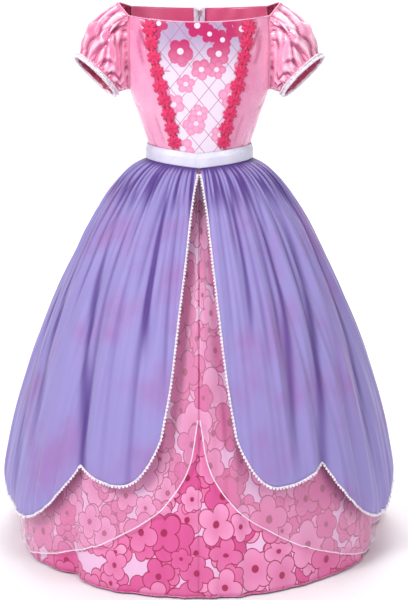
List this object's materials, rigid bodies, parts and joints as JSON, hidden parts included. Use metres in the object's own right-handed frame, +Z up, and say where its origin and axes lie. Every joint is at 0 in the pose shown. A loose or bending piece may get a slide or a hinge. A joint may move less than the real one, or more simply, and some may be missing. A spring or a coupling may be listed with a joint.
{
  "type": "princess costume dress",
  "caption": "Child's princess costume dress in worn form: satin bodice with puff sleeves, waist ribbon, scalloped open-front overskirt over sheer and flower-print long skirts, back zip.",
  "frame": {"origin": "midway between the tops of the two shoulders, where the dress hangs on its wearer", "axes": "+Z up the standing dress, -Y out of its front, +X to the wearer's left"},
  "size_m": [0.6843, 0.6678, 0.9217],
  "materials": {
    "pink_satin": "shiny pink satin",
    "lattice_panel_satin": "pale satin printed with a thin diamond lattice and pink flowers",
    "lilac_chiffon": "soft lilac chiffon, slightly see-through",
    "clear_organza": "nearly clear organza with a narrow white rolled hem",
    "flower_print_satin": "satin printed all over with large pink flowers",
    "white_ribbon": "white satin ribbon",
    "white_edging": "white beaded and looped edging",
    "rose_flower_lace": "deep rose flower lace",
    "white_zip_tape": "matt woven zip tape",
    "zip_metal": "satin metal"
  },
  "bodies": {
    "dress": {"bodice_front_panel": "lattice_panel_satin", "bodice_side_front_left": "pink_satin", "bodice_side_front_right": "pink_satin", "bodice_back_left": "pink_satin", "bodice_back_right": "pink_satin", "waist_ribbon": "white_ribbon", "overskirt_left": "lilac_chiffon", "overskirt_right": "lilac_chiffon", "overskirt_edging_left": "white_edging", "overskirt_edging_right": "white_edging", "sheer_skirt_left": "clear_organza", "sheer_skirt_right": "clear_organza", "underskirt_front_left": "flower_print_satin", "underskirt_front_right": "flower_print_satin", "underskirt_back_left": "flower_print_satin", "underskirt_back_right": "flower_print_satin", "sleeve_left": "pink_satin", "sleeve_right": "pink_satin", "cuff_edging_left": "white_edging", "cuff_edging_right": "white_edging", "flower_trim_left": "rose_flower_lace", "flower_trim_right": "rose_flower_lace", "zip_tape_left": "white_zip_tape", "zip_tape_right": "white_zip_tape", "zip_chain": "white_zip_tape", "zip_slider": "zip_metal"},
    "zip_pull": {"zip_pull_tab": "zip_metal"}
  },
  "joints": [
    {"name": "zip_pull_swing", "type": "hinge", "parent": "dress", "child": "zip_pull", "pos_m": [0, 0.08546, -0.01848], "axis": [1, 0, 0], "range_deg": [0, 150]}
  ]
}
